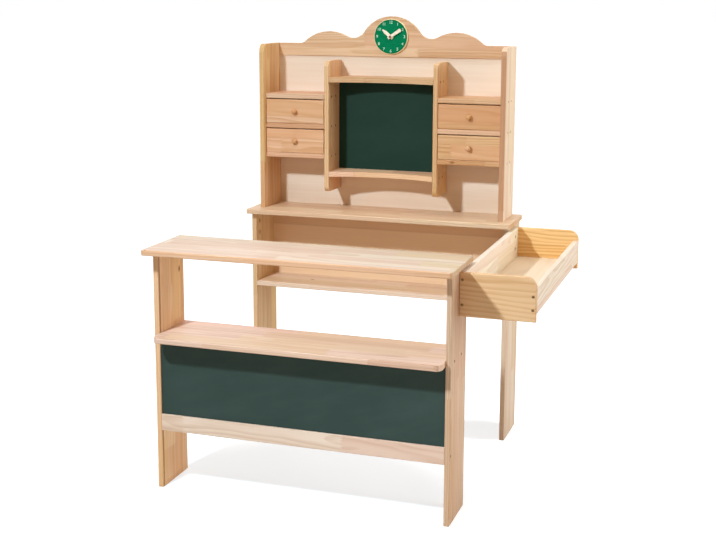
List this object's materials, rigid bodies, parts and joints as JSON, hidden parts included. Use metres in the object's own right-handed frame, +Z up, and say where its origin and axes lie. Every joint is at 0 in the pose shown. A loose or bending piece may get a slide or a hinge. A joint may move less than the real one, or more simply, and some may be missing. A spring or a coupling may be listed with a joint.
{
  "type": "toy market stall",
  "caption": "Pine toy market stall: counter with shelf and chalkboard, base with worktop, drawer hutch with chalkboard niche and toy clock, and an open side tray that joins the two.",
  "frame": {"origin": "on the floor, under the middle of the stall's bounding box", "axes": "+X to the right as seen by a customer in front, +Y from the counter to the hutch, +Z up"},
  "size_m": [0.949, 0.808, 1.172],
  "materials": {
    "pine": "clear satin lacquer",
    "drawer_pine": "bare, planed",
    "knob_pine": "turned, clear lacquer",
    "plywood": "bare, sanded",
    "dowel_beech": "bare",
    "chalkboard": "matt chalkboard paint",
    "clock_face": "gloss paint",
    "clock_hands": "satin paint",
    "pivot_brass": "dull",
    "zinc_steel": "zinc plated"
  },
  "bodies": {
    "stall": {"counter_left_leg": "pine", "counter_right_leg": "pine", "counter_top": "pine", "counter_shelf": "pine", "counter_rail": "pine", "base_left_leg": "pine", "base_right_leg": "pine", "worktop": "pine", "base_shelf": "pine", "base_back_panel": "pine", "hutch_left_side": "pine", "hutch_right_side": "pine", "crest_board": "pine", "left_divider": "pine", "right_divider": "pine", "niche_top_shelf": "pine", "niche_bottom_shelf": "pine", "left_top_shelf": "pine", "left_middle_shelf": "pine", "left_bottom_shelf": "pine", "right_top_shelf": "pine", "right_middle_shelf": "pine", "right_bottom_shelf": "pine", "tray_front": "pine", "tray_back": "pine", "tray_inner_wall": "pine", "tray_outer_wall": "pine", "counter_chalkboard": "chalkboard", "niche_chalkboard": "chalkboard", "hutch_back": "plywood", "tray_floor": "plywood", "clock_dial": "clock_face", "clock_pivot": "pivot_brass", "counter_screws": "zinc_steel", "base_screws": "zinc_steel", "hutch_screws": "zinc_steel", "tray_screws": "zinc_steel", "tray_bolts": "zinc_steel", "tray_nuts": "zinc_steel", "dowels": "dowel_beech"},
    "upper_left_drawer": {"upper_left_drawer_front": "pine", "upper_left_drawer_walls": "drawer_pine", "upper_left_drawer_bottom": "plywood", "upper_left_drawer_knob": "knob_pine"},
    "lower_left_drawer": {"lower_left_drawer_front": "pine", "lower_left_drawer_walls": "drawer_pine", "lower_left_drawer_bottom": "plywood", "lower_left_drawer_knob": "knob_pine"},
    "upper_right_drawer": {"upper_right_drawer_front": "pine", "upper_right_drawer_walls": "drawer_pine", "upper_right_drawer_bottom": "plywood", "upper_right_drawer_knob": "knob_pine"},
    "lower_right_drawer": {"lower_right_drawer_front": "pine", "lower_right_drawer_walls": "drawer_pine", "lower_right_drawer_bottom": "plywood", "lower_right_drawer_knob": "knob_pine"},
    "hour_hand": {"clock_hour_hand": "clock_hands"},
    "minute_hand": {"clock_minute_hand": "clock_hands"}
  },
  "joints": [
    {"name": "upper_left_drawer_slide", "type": "slide", "parent": "stall", "child": "upper_left_drawer", "axis": [0, -1, 0], "range_m": [0, 0.08]},
    {"name": "lower_left_drawer_slide", "type": "slide", "parent": "stall", "child": "lower_left_drawer", "axis": [0, -1, 0], "range_m": [0, 0.08]},
    {"name": "upper_right_drawer_slide", "type": "slide", "parent": "stall", "child": "upper_right_drawer", "axis": [0, -1, 0], "range_m": [0, 0.08]},
    {"name": "lower_right_drawer_slide", "type": "slide", "parent": "stall", "child": "lower_right_drawer", "axis": [0, -1, 0], "range_m": [0, 0.08]},
    {"name": "hour_hand_turn", "type": "hinge", "parent": "stall", "child": "hour_hand", "pos_m": [-0.0855, 0.38, 1.115], "axis": [0, 1, 0], "continuous": true},
    {"name": "minute_hand_turn", "type": "hinge", "parent": "stall", "child": "minute_hand", "pos_m": [-0.0855, 0.3765, 1.115], "axis": [0, 1, 0], "continuous": true}
  ]
}
